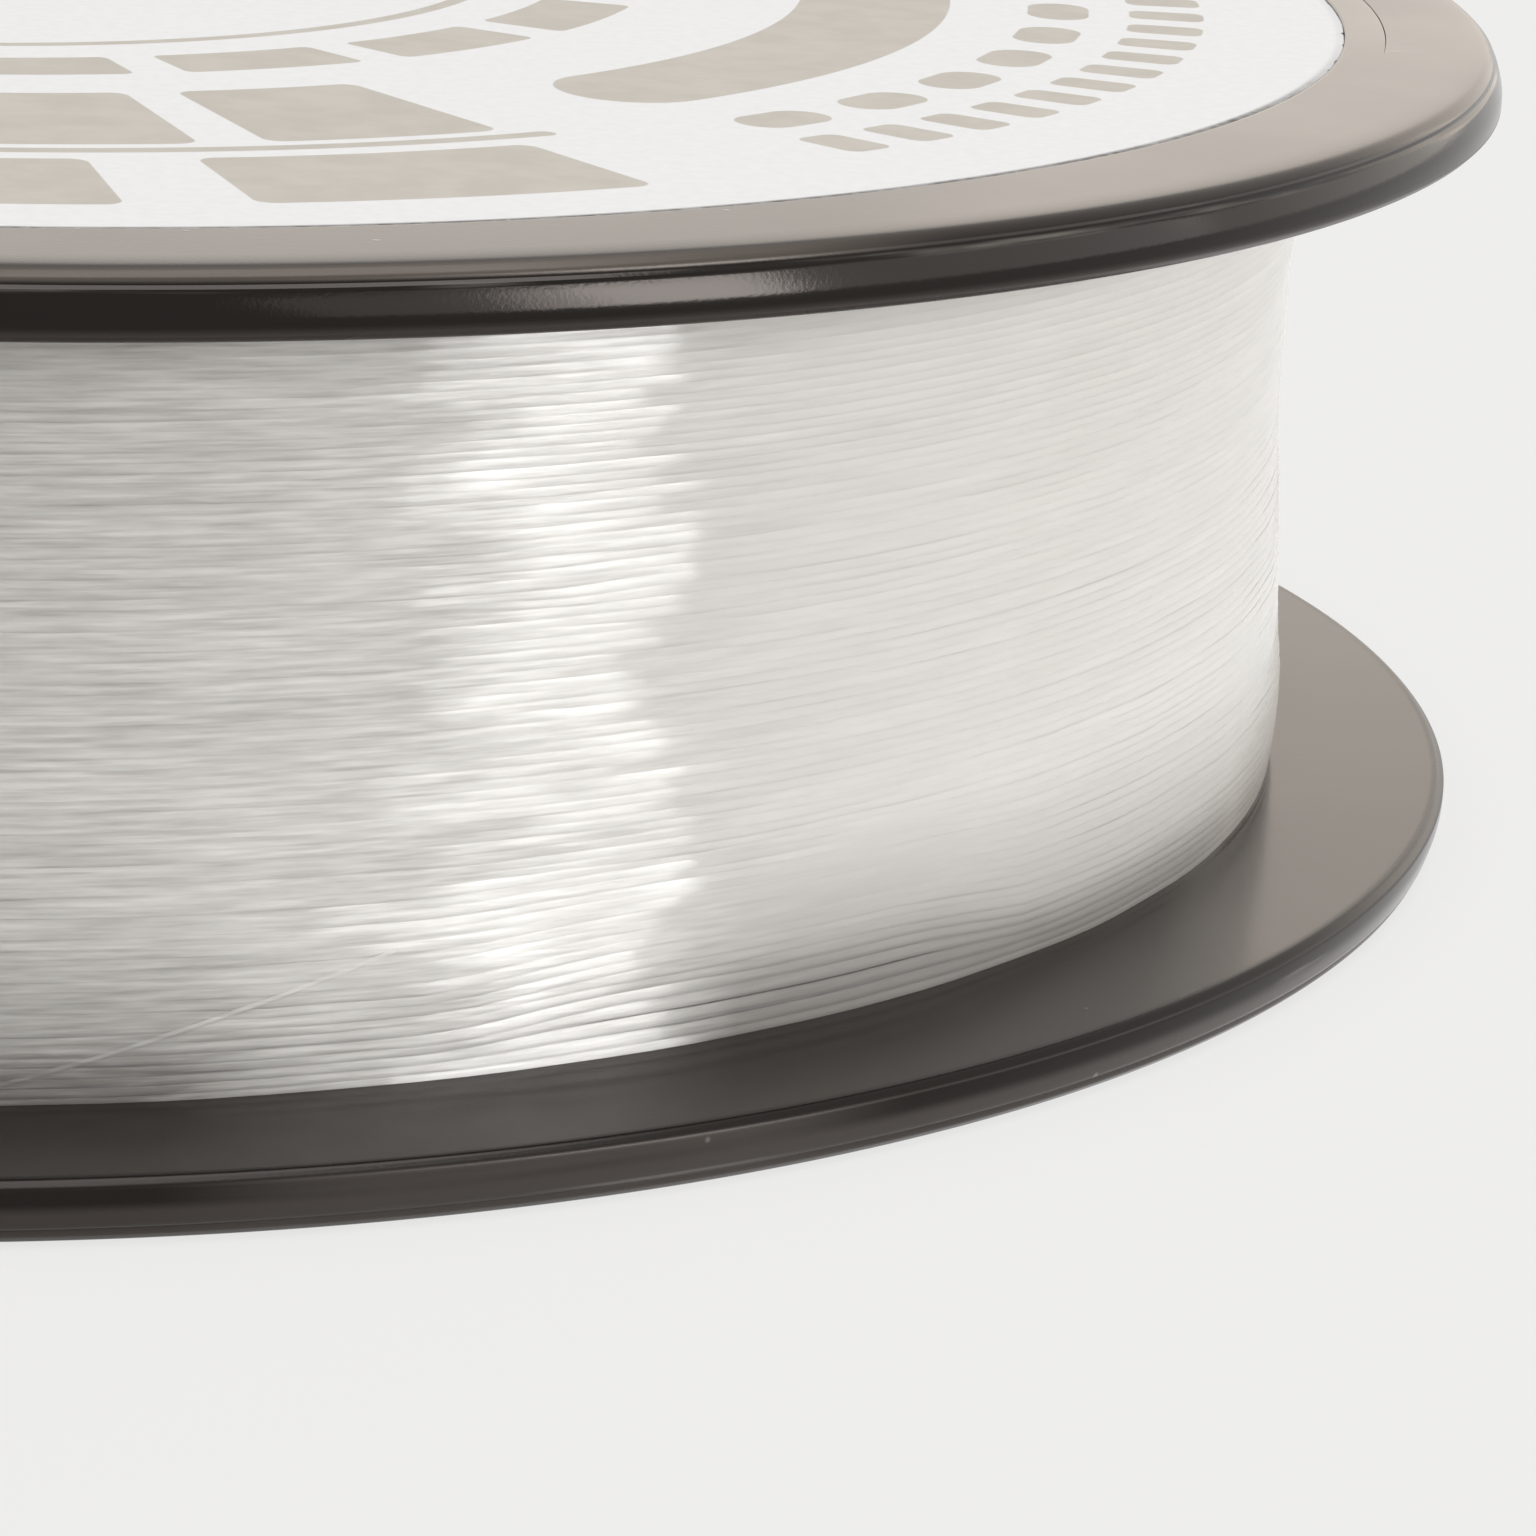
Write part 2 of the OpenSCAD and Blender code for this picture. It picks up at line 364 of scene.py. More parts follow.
def turned(name, outline, steps):
    """A closed ring turned round the axle from a closed outline of (radius, height)."""
    mesh = bpy.data.meshes.new(name)
    count = len(outline)
    vertices = []
    for i in range(steps):
        a = 2 * math.pi * i / steps
        vertices += [(r * math.cos(a), r * math.sin(a), h) for r, h in outline]
    faces = []
    for i in range(steps):
        here, there = i * count, (i + 1) % steps * count
        for k in range(count):
            after = (k + 1) % count
            faces.append((here + k, there + k, there + after, here + after))
    mesh.from_pydata(vertices, [], faces)
    return mesh


def outward(mesh, angle=35):
    """Turns every face outwards and keeps only the edges sharper than the angle crisp."""
    shape = bmesh.new()
    shape.from_mesh(mesh)
    bmesh.ops.remove_doubles(shape, verts=shape.verts, dist=1e-7)
    bmesh.ops.recalc_face_normals(shape, faces=shape.faces)
    shape.to_mesh(mesh)
    shape.free()
    mesh.shade_smooth()
    mesh.set_sharp_from_angle(angle=math.radians(angle))


def piece(name, mesh, material, replaced=()):
    """A finished piece: it rides on the spool and stands for the CAD nodes that it replaces."""
    made = bpy.data.objects.new(name, mesh)
    scene.collection.objects.link(made)
    mesh.materials.clear()
    mesh.materials.append(material)
    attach(made, body)
    if replaced:
        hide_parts(*replaced)
    return made


def lofted(name, sections):
    """A closed solid through a row of like sections, each a list of points, with flat ends."""
    mesh = bpy.data.meshes.new(name)
    count = len(sections[0])
    faces = [tuple(range(count)), tuple(range((len(sections) - 1) * count, len(sections) * count))]
    for i in range(len(sections) - 1):
        here, there = i * count, (i + 1) * count
        for k in range(count):
            after = (k + 1) % count
            faces.append((here + k, here + after, there + after, there + k))
    mesh.from_pydata([p for section in sections for p in section], [], faces)
    outward(mesh)
    return mesh


def carve(mesh, tool, operation):
    """The mesh after a Boolean with another closed mesh."""
    whole = bpy.data.objects.new(mesh.name, mesh)
    other = bpy.data.objects.new(tool.name, tool)
    for each in (whole, other):
        scene.collection.objects.link(each)
    modifier = whole.modifiers.new(tool.name, "BOOLEAN")
    modifier.operation = operation
    modifier.solver = "EXACT"
    modifier.object = other
    ready = whole.evaluated_get(bpy.context.evaluated_depsgraph_get())
    made = bpy.data.meshes.new_from_object(ready)
    whole.modifiers.clear()
    for each in (whole, other):
        bpy.data.objects.remove(each)
    return made


def nodes_tree(name, sizes):
    """An empty Geometry Nodes tree with named number inputs, its Flow and those inputs."""
    tree = bpy.data.node_groups.new(name, "GeometryNodeTree")
    tree.interface.new_socket("Geometry", in_out="OUTPUT", socket_type="NodeSocketGeometry")
    kinds = {float: "NodeSocketFloat", int: "NodeSocketInt"}
    for label, value in sizes.items():
        socket = tree.interface.new_socket(label, in_out="INPUT", socket_type=kinds[type(value)])
        socket.default_value = value
    flow = Flow(tree)
    given = flow.node("NodeGroupInput")
    return tree, flow, {label: given.other(label) for label in sizes}


def grown(name, tree, **sizes):
    """The plain mesh that a Geometry Nodes tree makes with these sizes."""
    seed = bpy.data.objects.new(name, bpy.data.meshes.new(name + "_seed"))
    scene.collection.objects.link(seed)
    modifier = seed.modifiers.new(name, "NODES")
    modifier.node_group = tree
    for item in tree.interface.items_tree:
        if item.in_out == "INPUT" and item.name.replace(" ", "_") in sizes:
            modifier[item.identifier] = sizes[item.name.replace(" ", "_")]
    ready = seed.evaluated_get(bpy.context.evaluated_depsgraph_get())
    mesh = bpy.data.meshes.new_from_object(ready)
    seed.modifiers.clear()
    bpy.data.objects.remove(seed)
    mesh.name = name
    return mesh


def facing(x, y, side):
    """The part of (x, y) that points towards a side, which is an azimuth in degrees."""
    a = math.radians(side)
    return x * math.cos(a) + y * math.sin(a)


styrene_dark = (0.021, 0.0158, 0.013)
styrene_light = (0.025, 0.0195, 0.016)
rim_shade_black = (0.004, 0.0026, 0.0021)
scuff_reflection_grey = (0.045, 0.038, 0.034)
lip_sheen_grey = (0.08, 0.068, 0.059)
dust_sheen_grey = (0.055, 0.048, 0.044)
parting_glint_grey = (0.14, 0.126, 0.112)
rubbed_grey = (0.07, 0.063, 0.057)
speck_grey = (0.16, 0.15, 0.14)
lip_sheen_side = -85
dust_sheen_side = -70

styrene, flow = new_material("black_styrene")
place = flow.node("ShaderNodeTexCoord").other("Object")
x, y, z = place.split()
from_axle = (x * x + y * y) ** 0.5
from_face = spool_w / 2 - abs(z - spool_w / 2)
cloud = flow.noise(place, 90.0, 3.0)
grain = flow.noise(place, 9000.0)
fine = flow.noise(flow.vector(x * 90, y * 90, z * 2500), 1.0, 3.0)
# Dust lies on it as a few pale specks
cell = flow.node("ShaderNodeTexVoronoi", {"Vector": place, "Scale": 450.0, "Randomness": 1.0})
picked = flow.node("ShaderNodeSeparateColor", {0: cell.other("Color")}).ease(0.93, 0.935)
dust = cell.ease(0.06, 0.025) * picked
# The rim's edges are rubbed in places, and the lower part of each rim is drawn lighter: a few scuffs
# and a painted reflection of what lies below it
at_rim = from_axle.ease(flange_r - 0.5 * mm, flange_r - 0.3 * mm)
rubbed = fine.ease(0.35, 0.55) * from_axle.ease(flange_r - 0.25 * mm, flange_r - 0.05 * mm)
lower_rim_bottom = z.ease(1.2 * mm, 0.85 * mm)
upper_rim_bottom = z.ease(20.5 * mm, 20.6 * mm) * z.ease(22.25 * mm, 21.95 * mm)
scuff_and_reflection = lower_rim_bottom.most(upper_rim_bottom) * at_rim
# The lip between the face and the side is drawn lighter and rougher on the front, mostly on the upper
# flange: a painted sheen of the lamp overhead
lip_sheen = from_axle.ease(flat_r + 0.02 * mm, flat_r + 0.15 * mm) * from_face.ease(0.42 * mm, 0.3 * mm)
lip_sheen = lip_sheen * z.ease(spool_w * 0.3, spool_w * 0.7, 0.3, 1.0)
lip_sheen = lip_sheen * (facing(x, y, lip_sheen_side) / from_axle).ease(0.88, 0.95, 0.12, 1.0)
# Pale dashes along the parting line: painted glints
parting_line = from_face.ease(0.4 * mm, 0.47 * mm) * from_face.ease(0.62 * mm, 0.54 * mm)
parting_glint = parting_line * fine.ease(0.0, 0.4) * at_rim
# The side of the lower flange is drawn lighter and rougher where it mirrors the key softbox: a film of
# table dust and a painted sheen of that lamp
dust_and_sheen = (facing(x, y, dust_sheen_side) / from_axle).ease(0.975, 0.996)
dust_and_sheen = dust_and_sheen * z.ease(1.62 * mm, 1.5 * mm) * at_rim
relief = {"Height": grain + dust * 20, "Strength": 0.06, "Distance": 0.02 * mm}
bump = flow.node("ShaderNodeBump", relief)
base = cloud.ease(-0.4, 0.4).mix(styrene_dark, styrene_light)
# The rim is drawn blacker than the faces: painted shade
base = at_rim.mix(base, rim_shade_black)
base = scuff_and_reflection.mix(base, scuff_reflection_grey)
base = (lip_sheen * (fine * 0.5 + 0.85)).mix(base, lip_sheen_grey)
base = (dust_and_sheen * (fine * 0.4 + 0.8)).mix(base, dust_sheen_grey)
base = parting_glint.mix(base, parting_glint_grey)
base = rubbed.mix(base, rubbed_grey)
base = dust.mix(base, speck_grey)
worn_edge = from_face.ease(rim_t - 0.32 * mm, rim_t - 0.24 * mm) * at_rim
rough = cloud.ease(-0.4, 0.4, 0.17, 0.21) - at_rim * 0.06
rough = rough + rubbed * 0.1 + lip_sheen * 0.13 + worn_edge * 0.14 + dust_and_sheen * 0.12
plastic = flow.node(
    "ShaderNodeBsdfPrincipled",
    {
        "Base Color": base,
        "Roughness": rough,
        "IOR": 1.32,
        "Specular Tint": (1.0, 0.9, 0.84, 1.0),
        "Normal": bump,
    },
)
flow.node("ShaderNodeOutputMaterial", {"Surface": plastic})

ribs_tree, flow, size = nodes_tree(
    "stiffening_ribs",
    {
        "Count": rib_count,
        "From": (bore_r + arbor_r) / 2,
        "To": locator_r - locator_wall / 2,
        "Thickness": rib_t,
        "Height": rib_h + rib_seat,
        "Seat": web_t - rib_seat,
    },
)
bar = flow.node(
    "GeometryNodeMeshCube",
    {"Size": flow.vector(size["To"] - size["From"], size["Thickness"], size["Height"])},
)
half_way = flow.vector((size["To"] + size["From"]) / 2, 0.0, size["Seat"] + size["Height"] / 2)
bar = flow.node("GeometryNodeTransform", {"Geometry": bar, "Translation": half_way})
points = flow.node("GeometryNodePoints", {"Count": size["Count"]})
turned_by = flow.node("GeometryNodeInputIndex") / size["Count"] * (2 * math.pi)
spokes = flow.node(
    "GeometryNodeInstanceOnPoints",
    {"Points": points, "Instance": bar, "Rotation": flow.vector(0.0, 0.0, turned_by)},
)
real = flow.node("GeometryNodeRealizeInstances", {"Geometry": spokes})
dressed = flow.node("GeometryNodeSetMaterial", {"Geometry": real, "Material": styrene})
flow.node("NodeGroupOutput", {0: dressed})


def flange(name, spigot):
    """One flange moulding, lying with its outer face down."""
    mesh = turned(name, flange_outline(arbor_half, spigot), flange_steps)
    outward(mesh)
    return carve(mesh, grown(name + "_ribs", ribs_tree), "UNION")


def slit_section(a):
    """Section of the keeper's slit at an angle: a shallow V mouth over a narrow cut right through."""
    fade = min(1, max(0.02, (a - keeper_root) / slit_fade)) ** 0.6
    past = 1 * mm
    sides = [(-past, slit_mouth_w * (1 + past / slit_mouth_depth) - slit_w * past / slit_mouth_depth)]
    sides += [(slit_mouth_depth, slit_w), (web_t + past, slit_w)]
    sides = [(h, w * fade / 2) for h, w in sides]
    outline = [(keeper_r + w, h) for h, w in sides] + [(keeper_r - w, h) for h, w in reversed(sides)]
    return [(r * math.cos(a), r * math.sin(a), h) for r, h in outline]


lower_mesh = flange("lower_flange_body", False)
outward(lower_mesh)
piece("lower_flange_body", lower_mesh, styrene, ["lower_flange"])

upper_mesh = flange("upper_flange_body", True)
slit_steps = 76
slit_sweep = keeper_entry - keeper_root
slit_angles = [keeper_root + slit_sweep * k / slit_steps for k in range(slit_steps + 1)]
slit = lofted("keeper_slit", [slit_section(a) for a in slit_angles])
upper_mesh = carve(upper_mesh, slit, "DIFFERENCE")
entry_past = 1 * mm
entry_ends = [(keeper_r - slit_w, entry_throat_w), (flange_r + entry_past, entry_mouth_w)]
entry_low, entry_high = -entry_past, web_t + entry_past
entry_turn = Matrix.Rotation(keeper_entry, 3, "Z")
entry = []
for r, w in entry_ends:
    corners = [(-w / 2, entry_low), (w / 2, entry_low), (w / 2, entry_high), (-w / 2, entry_high)]
    entry.append([entry_turn @ Vector((r, across, h)) for across, h in corners])
upper_mesh = carve(upper_mesh, lofted("keeper_entry", entry), "DIFFERENCE")
upper_mesh.transform(Matrix.Translation((0, 0, spool_w)) @ Matrix.Scale(-1, 4, (0, 0, 1)))
outward(upper_mesh)
piece("upper_flange_body", upper_mesh, styrene, ["upper_flange"])


# ---------------------------------------------------------------- drum
# A sleeve of uncoloured polystyrene between the flanges, under all of the line. It is only seen
# by taking the spool apart.
natural_dark = (0.66, 0.64, 0.6)
natural_pale = (0.74, 0.72, 0.68)

natural, flow = new_material("natural_styrene")
place = flow.node("ShaderNodeTexCoord").other("Object")
base = flow.noise(place, 60.0, 3.0).ease(-0.4, 0.4).mix(natural_dark, natural_pale)
sleeve = flow.node("ShaderNodeBsdfPrincipled", {"Base Color": base, "Roughness": 0.45})
flow.node("ShaderNodeOutputMaterial", {"Surface": sleeve})
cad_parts["drum"].data.materials.clear()
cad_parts["drum"].data.materials.append(natural)


# ---------------------------------------------------------------- wound line
# Clear nylon monofilament, a quarter of a millimetre thick. It is wound on under light tension, so
# each turn lies a little over or under its neighbours and the pack looks milky with fine streaks.
line_d = 0.26 * mm
line_pitch = 0.262 * mm
channel_low = web_t + 0.02 * mm
channel_high = spool_w - web_t - 0.02 * mm
waist_depth = 0.42 * mm
swell_height = 0.26 * mm
lump_height = 0.1 * mm
tuck_depth = 0.4 * mm

nylon_deep = (0.19, 0.181, 0.166)
nylon_milky = (0.725, 0.713, 0.683)
dash_shade_grey = (0.4, 0.37, 0.34)
streak_depth = 0.42
dash_depth = 0.36
smooth_share = 0.94
streak_skew = 0.022 / 0.042
grazing_side = -84
parted_side = -58
mirror_side = -70

nylon, flow = new_material("clear_line")
tone = flow.node("ShaderNodeAttribute", attribute_name="tone").other("Fac")
x, y, z = flow.node("ShaderNodeTexCoord").other("Object").split()
# The streaks are drawn stronger, with darker dashes, on the side where the key light grazes the pack:
# painted shade of the turns' relief
grazing = (facing(x, y, grazing_side) / pack_r).ease(0.84, 0.975, 0.4, 1.0)
grazing_shade = grazing.ease(0.6, 1.0, 0.3, 1.0)
streaks = flow.noise(flow.vector(x * 520, y * 520, z * 8500), 1.0, 3.0) * grazing
dashes = flow.noise(flow.vector(x * 350, y * 350, z * 8000 + 9.0), 1.0, 2.0).ease(0.12, 0.5)
base = (tone + streaks * grazing_shade * streak_depth).mix(nylon_deep, nylon_milky)
base = (dashes * grazing * grazing_shade * dash_depth).mix(base, dash_shade_grey)
# The gloss follows the whole layer more than each round strand, and every streak turns it aside
round_face = flow.node("ShaderNodeNewGeometry").other("Normal")
smooth_face = flow.node("ShaderNodeAttribute", attribute_name="face").other("Vector")
faces = {0: smooth_share, 4: round_face, 5: smooth_face}
blended = flow.node("ShaderNodeMix", faces, out=1, data_type="VECTOR")
skew = streaks * streak_skew
skewed = flow.node("ShaderNodeVectorMath", {0: blended, 1: flow.vector(y * skew * -1, x * skew, 0.0)})
strand = flow.node(
    "ShaderNodeBsdfPrincipled",
    {
        "Base Color": base,
        "Roughness": 0.17,
        "IOR": 1.47,
        "Metallic": 0.028,
        "Anisotropic": 1.0,
        "Anisotropic Rotation": 0.25,
        "Normal": flow.node("ShaderNodeVectorMath", {0: skewed}, operation="NORMALIZE"),
    },
)
flow.node("ShaderNodeOutputMaterial", {"Surface": strand})

wound_tree, flow, size = nodes_tree(
    "wound_line",
    {
        "Turns": 75.0,
        "Stops per turn": 200,
        "Sides": 6,
        "Radius": pack_r,
        "Low": channel_low,
        "High": channel_high,
        "Thickness": line_d,
        "Flatness": 1.0,
        "Phase": 0.0,
        "Lift": 0.024 * mm,
        "Wander": 0.06 * mm,
        "Parted": 0.0,
        "Level turns": 1.0,
        "Pale": 0.0,
        "Tuck": 0.004,
        "Seed": 0.0,
    },
)
last = flow.math("FLOOR", size["Turns"] * size["Stops per turn"])
stops = flow.node("GeometryNodeMeshLine", {"Count": last + 1})
share = flow.node("GeometryNodeInputIndex") / last
round_by = share * size["Turns"] + size["Phase"]
angle = round_by * (2 * math.pi)
length = angle * size["Radius"]


def along(wave, offset, detail=1.0):
    """Noise from -1 to 1 along the strand, with waves about this long."""
    sockets = {"W": length / wave + (size["Seed"] + offset) * 37.7, "Scale": 1.0, "Detail": detail}
    return flow.node("ShaderNodeTexNoise", sockets, noise_dimensions="1D") * 2 - 1


# The first and the last turn lie level against the flanges, and the rest climb between them
level_share = size["Level turns"] / size["Turns"]
rising = {"Value": share, "From Min": level_share, "From Max": 1 - level_share}
climb = flow.node("ShaderNodeMapRange", rising)
height = size["Low"] + (size["High"] - size["Low"]) * climb
# The pack is drawn in a little above its middle and swells near its foot
level = (height - spool_w / 2) / flange_r
waist = (level.ease(-0.11, 0.03) * level.ease(0.19, 0.09)) * -waist_depth
bulge = (level.ease(-0.23, -0.18) * level.ease(-0.10, -0.17)) * swell_height
ring_x = flow.math("COSINE", angle)
ring_y = flow.math("SINE", angle)
round_x, round_y = ring_x * size["Radius"], ring_y * size["Radius"]
lump = flow.noise(flow.vector(round_x, round_y, height * 2.2), 190.0, 1.0)
out_by = size["Radius"] + waist + bulge + lump * lump_height + along(9 * mm, 1) * size["Lift"]
# Both ends of the strand are tucked in
tucked = 1 - share.ease(0.0, size["Tuck"]) * share.ease(1.0, 1 - size["Tuck"])
out_by = out_by - tucked * tuck_depth
# The lowest turns part from the flange on one side, where the traverse turned late
parting = facing(ring_x, ring_y, parted_side).ease(0.97, 0.998)
between_ends = share.ease(0.0, 0.03) * share.ease(1.0, 0.97)
up_by = height + along(24 * mm, 2, 2.0) * size["Wander"] * between_ends
up_by = up_by + parting * share.ease(0.01, 0.07) * share.ease(0.32, 0.09) * size["Parted"]
place = flow.vector(ring_x * out_by, ring_y * out_by, up_by)
laid = flow.node("GeometryNodeSetPosition", {"Geometry": stops, "Position": place})
# Deeper turns that cross at a slant show through as soft slanted bands
band_slant = 226
slant = angle - height * band_slant
banded_x = flow.math("COSINE", slant) * size["Radius"]
banded_y = flow.math("SINE", slant) * size["Radius"]
bands = flow.noise(flow.vector(banded_x, banded_y, height), 260.0, 2.0)
# The tone of the turns varies more on the side where the key light grazes them: painted shade of their
# relief
grazing = facing(ring_x, ring_y, grazing_side).ease(0.84, 0.975, 0.4, 1.0)
uneven = (along(5 * mm, 3, 2.0) * 0.4 + along(28 * mm, 6, 2.0) * 0.4 + bands * 0.5) * grazing
shade = uneven.ease(-0.6, 0.6, 0.68, 0.93)
# Painted shade: the turns are drawn darker next to the lower flange, least where they mirror the
# softbox, and darker next to the upper flange
foot_shade = level.ease(-0.165, -0.213) * 0.55 + level.ease(-0.085, -0.19) * 0.53
foot_shade = foot_shade * facing(ring_x, ring_y, mirror_side).ease(0.98, 0.999, 1.0, 0.08)
shade = (shade + size["Pale"]) * (1 - foot_shade) * level.ease(0.215, 0.175, 0.42, 1.0)
toned = flow.node(
    "GeometryNodeStoreNamedAttribute",
    {"Geometry": laid, "Name": "tone", "Value": shade},
)
group = flow.noise(flow.vector(round_x, round_y, height * 6), 90.0, 4.0)
# Each turn leans a little aside and faces a little up, and the lowest ones face further up
lean = angle + (along(6 * mm, 4) * math.radians(3.5) + group * math.radians(8.5)) * grazing
lean = lean + level.ease(0.1, -0.02, -0.5, 0.9) * math.radians(1)
nod = along(4 * mm, 5) * grazing * math.radians(5) + math.radians(7)
nod = nod + level.ease(-0.06, -0.2) * math.radians(2.8)
face = flow.vector(flow.math("COSINE", lean), flow.math("SINE", lean), flow.math("TANGENT", nod))
faced = flow.node(
    "GeometryNodeStoreNamedAttribute",
    {"Geometry": toned, "Name": "face", "Value": face},
    data_type="FLOAT_VECTOR",
)
path = flow.node("GeometryNodeMeshToCurve", {"Mesh": faced})
upright = flow.node("GeometryNodeSetCurveNormal", {0: path}, mode="Z_UP")
section = flow.node(
    "GeometryNodeCurvePrimitiveCircle",
    {"Resolution": size["Sides"], "Radius": size["Thickness"] / 2},
)
flattened = flow.vector(size["Flatness"], 1.0, 1.0)
section = flow.node("GeometryNodeTransform", {0: section, "Scale": flattened})
tube = flow.node(
    "GeometryNodeCurveToMesh",
    {"Curve": upright, "Profile Curve": section, "Fill Caps": True},
)
smooth = flow.node("GeometryNodeSetShadeSmooth", {"Geometry": tube})
real = flow.node("GeometryNodeRealizeInstances", {"Geometry": smooth})
dressed = flow.node("GeometryNodeSetMaterial", {"Geometry": real, "Material": nylon})
flow.node("NodeGroupOutput", {0: dressed})

# Each turn is drawn flat, and wide enough to overlap the next
shown_d = line_d * 1.5
outer_r = pack_r - line_d / 2
outer_low = channel_low + line_d / 2
outer_high = channel_high - line_d / 2
outer_mesh = grown(
    "line_outer_layer",
    wound_tree,
    Turns=(outer_high - outer_low) / line_pitch + 2,
    Radius=outer_r,
    Low=outer_low,
    High=outer_high,
    Thickness=shown_d,
    Flatness=0.3,
    Parted=0.5 * mm,
)
piece("line_outer_layer", outer_mesh, nylon, ["line_outer_turns"])

# The second layer is drawn darker (Pale below 0): painted shade where it shows between the outer turns
second_pitch = 0.3 * mm
second_sink = 0.17 * mm
second_mesh = grown(
    "line_second_layer",
    wound_tree,
    Turns=(outer_high - outer_low) / second_pitch + 2,
    Radius=outer_r - second_sink,
    Low=outer_low,
    High=outer_high,
    Thickness=line_d * 1.15,
    Phase=0.5,
    Pale=-0.3,
    Seed=3.0,
)
piece("line_second_layer", second_mesh, nylon)

# The last turn but one was laid across the others on its way up from the flange
crossing_mesh = grown(
    "line_crossing_turn",
    wound_tree,
    Turns=0.047,
    Radius=outer_r + 0.04 * mm,
    Low=outer_low + 0.05 * mm,
    High=outer_low + 3.8 * mm,
    Thickness=line_d * 0.6,
    Flatness=0.6,
    Phase=-0.2445,
    Pale=0.2,
    Seed=5.0,
    Tuck=0.13,
    Stops_per_turn=2400,
    Level_turns=0.0,
)
piece("line_crossing_turn", crossing_mesh, nylon)

# The inner layers keep their plain form, under the turns drawn over them
deep_dark = (0.42, 0.41, 0.395)
deep_pale = (0.62, 0.61, 0.6)
under, flow = new_material("deep_line")
x, y, z = flow.node("ShaderNodeTexCoord").other("Object").split()
streaks = flow.noise(flow.vector(x * 60, y * 60, z * 5000), 1.0, 2.0)
base = streaks.ease(-0.5, 0.5).mix(deep_dark, deep_pale)
core = flow.node("ShaderNodeBsdfPrincipled", {"Base Color": base, "Roughness": 0.4, "IOR": 1.53})
flow.node("ShaderNodeOutputMaterial", {"Surface": core})
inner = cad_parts["line_inner_layers"]
inner.data.materials.clear()
inner.data.materials.append(under)


# ---------------------------------------------------------------- label
# A disc of coated white paper, punched out, printed in a warm grey and glued into the recess of the
# upper flange, over the mouth of the arbor. It lies a little off centre and its cut edge is nicked.
label_r = recess_r - 0.05 * mm
label_shift = 0.045 * mm
label_top = spool_w - 0.015 * mm
label_edge = 0.03 * mm
label_steps = 1440
nick_depth = 0.14 * mm


def label_edge_r(a):
    """Radius of the punched edge at an angle: slightly uneven, with a few small nicks."""
    uneven = noise.noise(Vector((math.cos(a) * 25, math.sin(a) * 25, 0.5))) * 0.03 * mm
    bite = noise.noise(Vector((math.cos(a) * 190, math.sin(a) * 190, 7.5)))
    return label_r + uneven - nick_depth * max(0, bite - 0.42) / 0.3


paper_dim = (0.76, 0.76, 0.76)
paper_white = (0.785, 0.785, 0.785)
ink_full = (0.5, 0.465, 0.42)
ink_thin = (0.54, 0.508, 0.46)
edge_dark_grey = (0.12, 0.11, 0.1)

paper, flow = new_material("label_paper")
place = flow.node("ShaderNodeTexCoord").other("Object")
x, y = place.split()[:2]
ring_at = (x * x + y * y) ** 0.5 / mm
turn_at = flow.math("ARCTAN2", y, x) * (180 / math.pi)


def print_blocks(middle, half_w, step, gap, first, count, corner=0.5):
    """Blocks along a ring of this radius in millimetres, count of them every step degrees from first.

    The same blocks stand on the opposite side of the label.
    """
    half_l = math.radians(step) * middle / 2 - gap / 2
    around = (turn_at - first).math("WRAP", step / 2, -step / 2) * (math.pi / 180 * middle)
    past_end = (abs(around) - (half_l - corner)).most(0.0)
    past_side = (abs(ring_at - middle) - (half_w - corner)).most(0.0)
    soft_edge = 0.03
    from_corner = (past_end * past_end + past_side * past_side) ** 0.5
    drawn = (from_corner - corner).ease(soft_edge, -soft_edge)
    centre = first + step * (count - 1) / 2
    apart = abs((turn_at - centre).math("WRAP", 90.0, -90.0))
    return drawn * apart.math("LESS_THAN", step * count / 2)


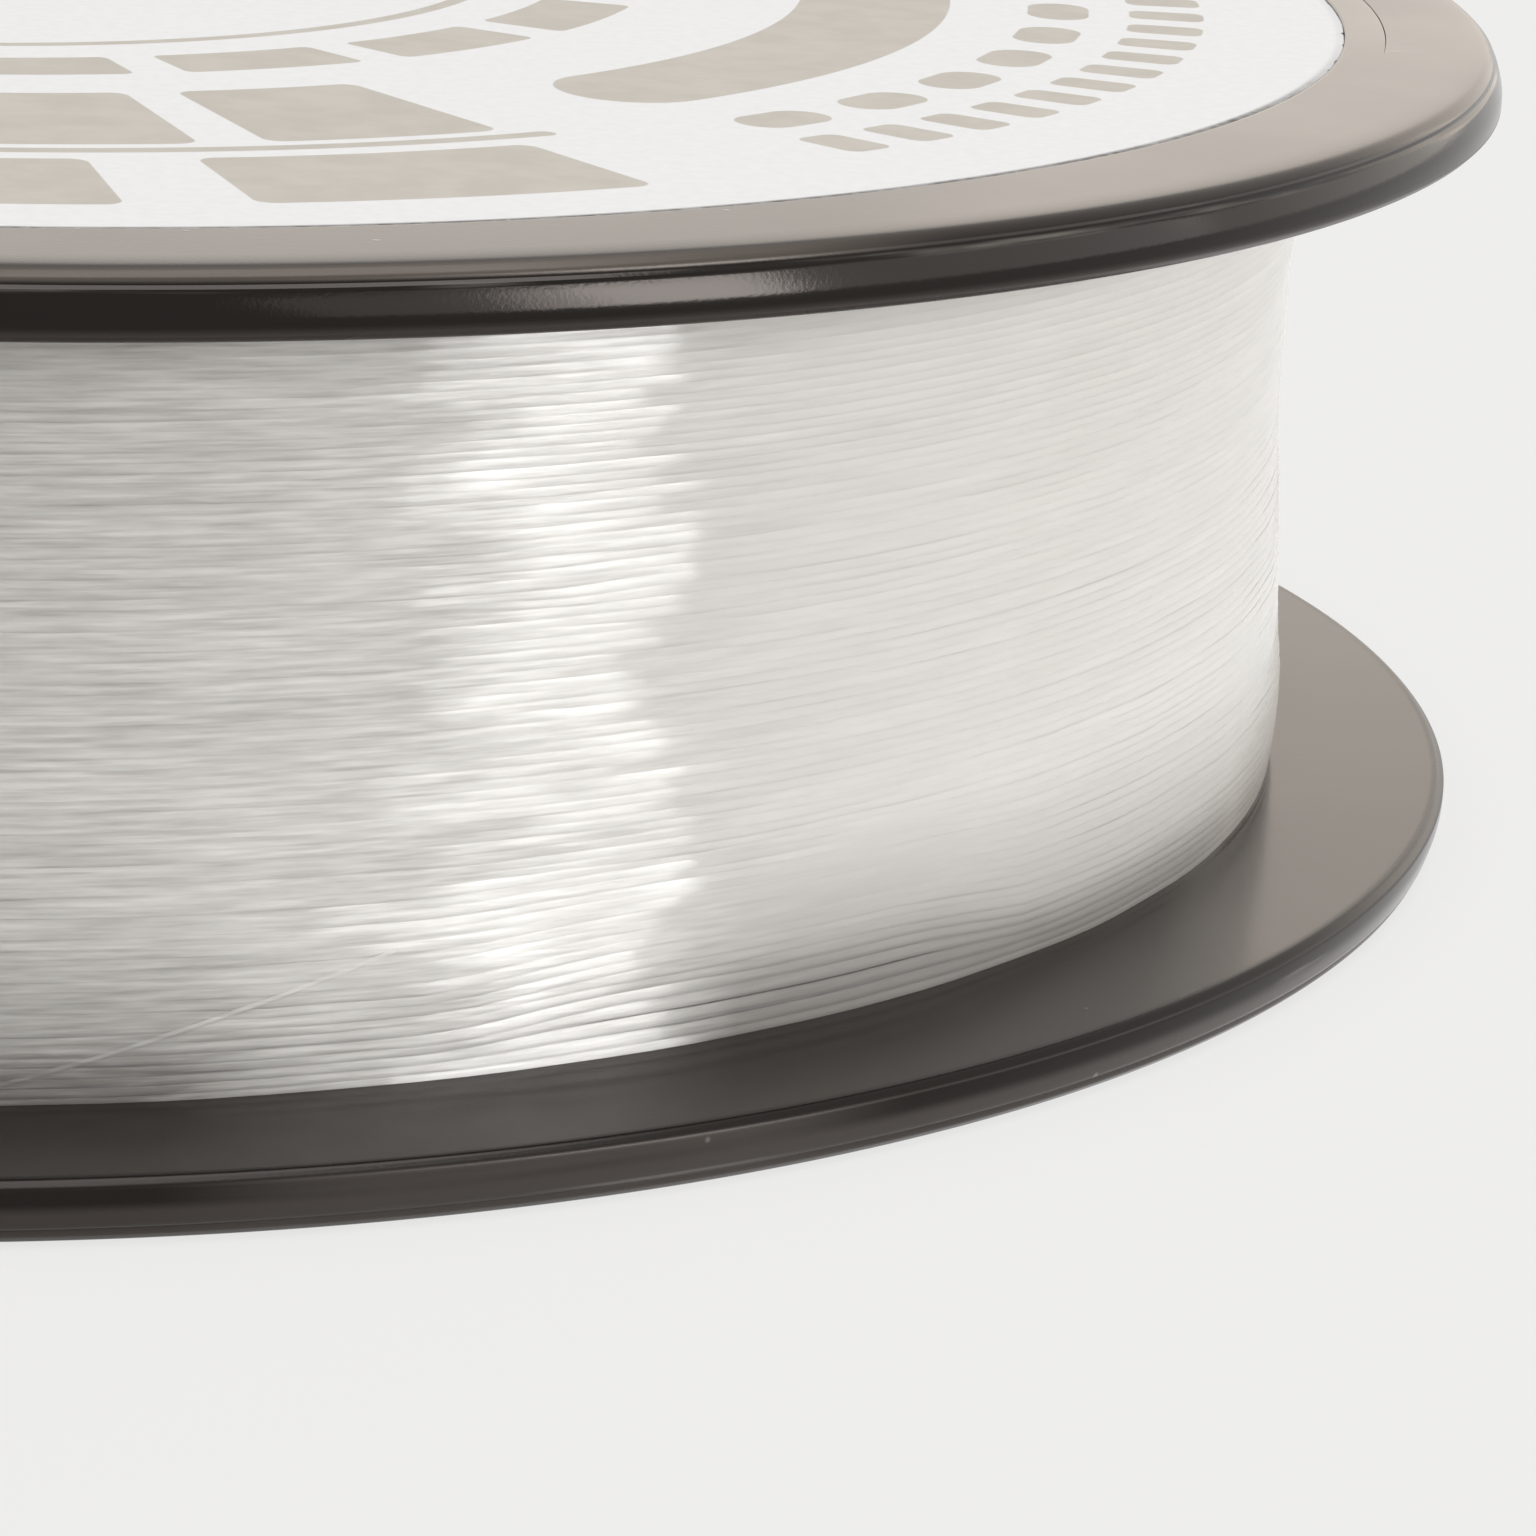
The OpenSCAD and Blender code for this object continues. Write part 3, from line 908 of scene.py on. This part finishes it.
ink = print_blocks(37.0, 2.9, 20, 3.0, -130, 4)
ink = ink.most(print_blocks(28.6, 3.6, 15, 1.6, -127.5, 5))
ink = ink.most(print_blocks(33.0, 0.3, 90, 4.2, -101, 1, 0.3))
ink = ink.most(print_blocks(37.6, 1.1, 4, 1.1, -50, 12, 0.4))
ink = ink.most(print_blocks(34.4, 0.9, 7.5, 1.5, -48, 6, 0.9))
ink = ink.most(print_blocks(29.0, 2.2, 60, 4.0, -26, 1, 2.2))
ink = ink.most(print_blocks(21.0, 1.3, 18, 1.4, -99, 10, 0.3))
ink = ink.most(print_blocks(17.6, 0.25, 180, 0.0, 0, 1, 0.25))
mottle = flow.noise(place, 700.0, 3.0)
fibre = flow.noise(place, 2500.0)
sheet = fibre.ease(-0.4, 0.4).mix(paper_dim, paper_white)
inked = mottle.ease(-0.4, 0.4).mix(ink_full, ink_thin)
# The label is drawn darker along its cut edge, but hardly beside the keeper's slit
edge_darkening = ((fibre + mottle) * 0.3 + 0.7) * abs(turn_at).ease(12, 38, 0.15, 1.15)
cut_edge = ring_at.ease(label_r / mm - 0.28, label_r / mm - 0.06) * edge_darkening
base = cut_edge.mix(ink.mix(sheet, inked), edge_dark_grey)
bump = flow.node("ShaderNodeBump", {"Height": fibre, "Strength": 0.05, "Distance": 0.02 * mm})
coated = flow.node(
    "ShaderNodeBsdfPrincipled",
    {"Base Color": base, "Roughness": ink * -0.1 + 0.95, "IOR": 1.35, "Normal": bump},
)
flow.node("ShaderNodeOutputMaterial", {"Surface": coated})

shape = bmesh.new()
rings = []
for inset, height_at in ((0, label_low.z), (0, label_top - label_edge), (label_edge, label_top)):
    ring = []
    for i in range(label_steps):
        a = 2 * math.pi * i / label_steps
        r = label_edge_r(a) - inset
        ring.append(shape.verts.new((label_shift + r * math.cos(a), r * math.sin(a), height_at)))
    rings.append(ring)
for lower_ring, upper_ring in zip(rings, rings[1:]):
    for i in range(label_steps):
        after = (i + 1) % label_steps
        shape.faces.new((lower_ring[i], lower_ring[after], upper_ring[after], upper_ring[i]))
for ring, at in ((rings[0], label_low.z), (rings[-1], label_top)):
    middle = shape.verts.new((label_shift, 0, at))
    for i in range(label_steps):
        shape.faces.new((ring[i], ring[(i + 1) % label_steps], middle))
label_mesh = bpy.data.meshes.new("face_label_print")
shape.to_mesh(label_mesh)
shape.free()
outward(label_mesh)
piece("face_label_print", label_mesh, paper, ["face_label"])
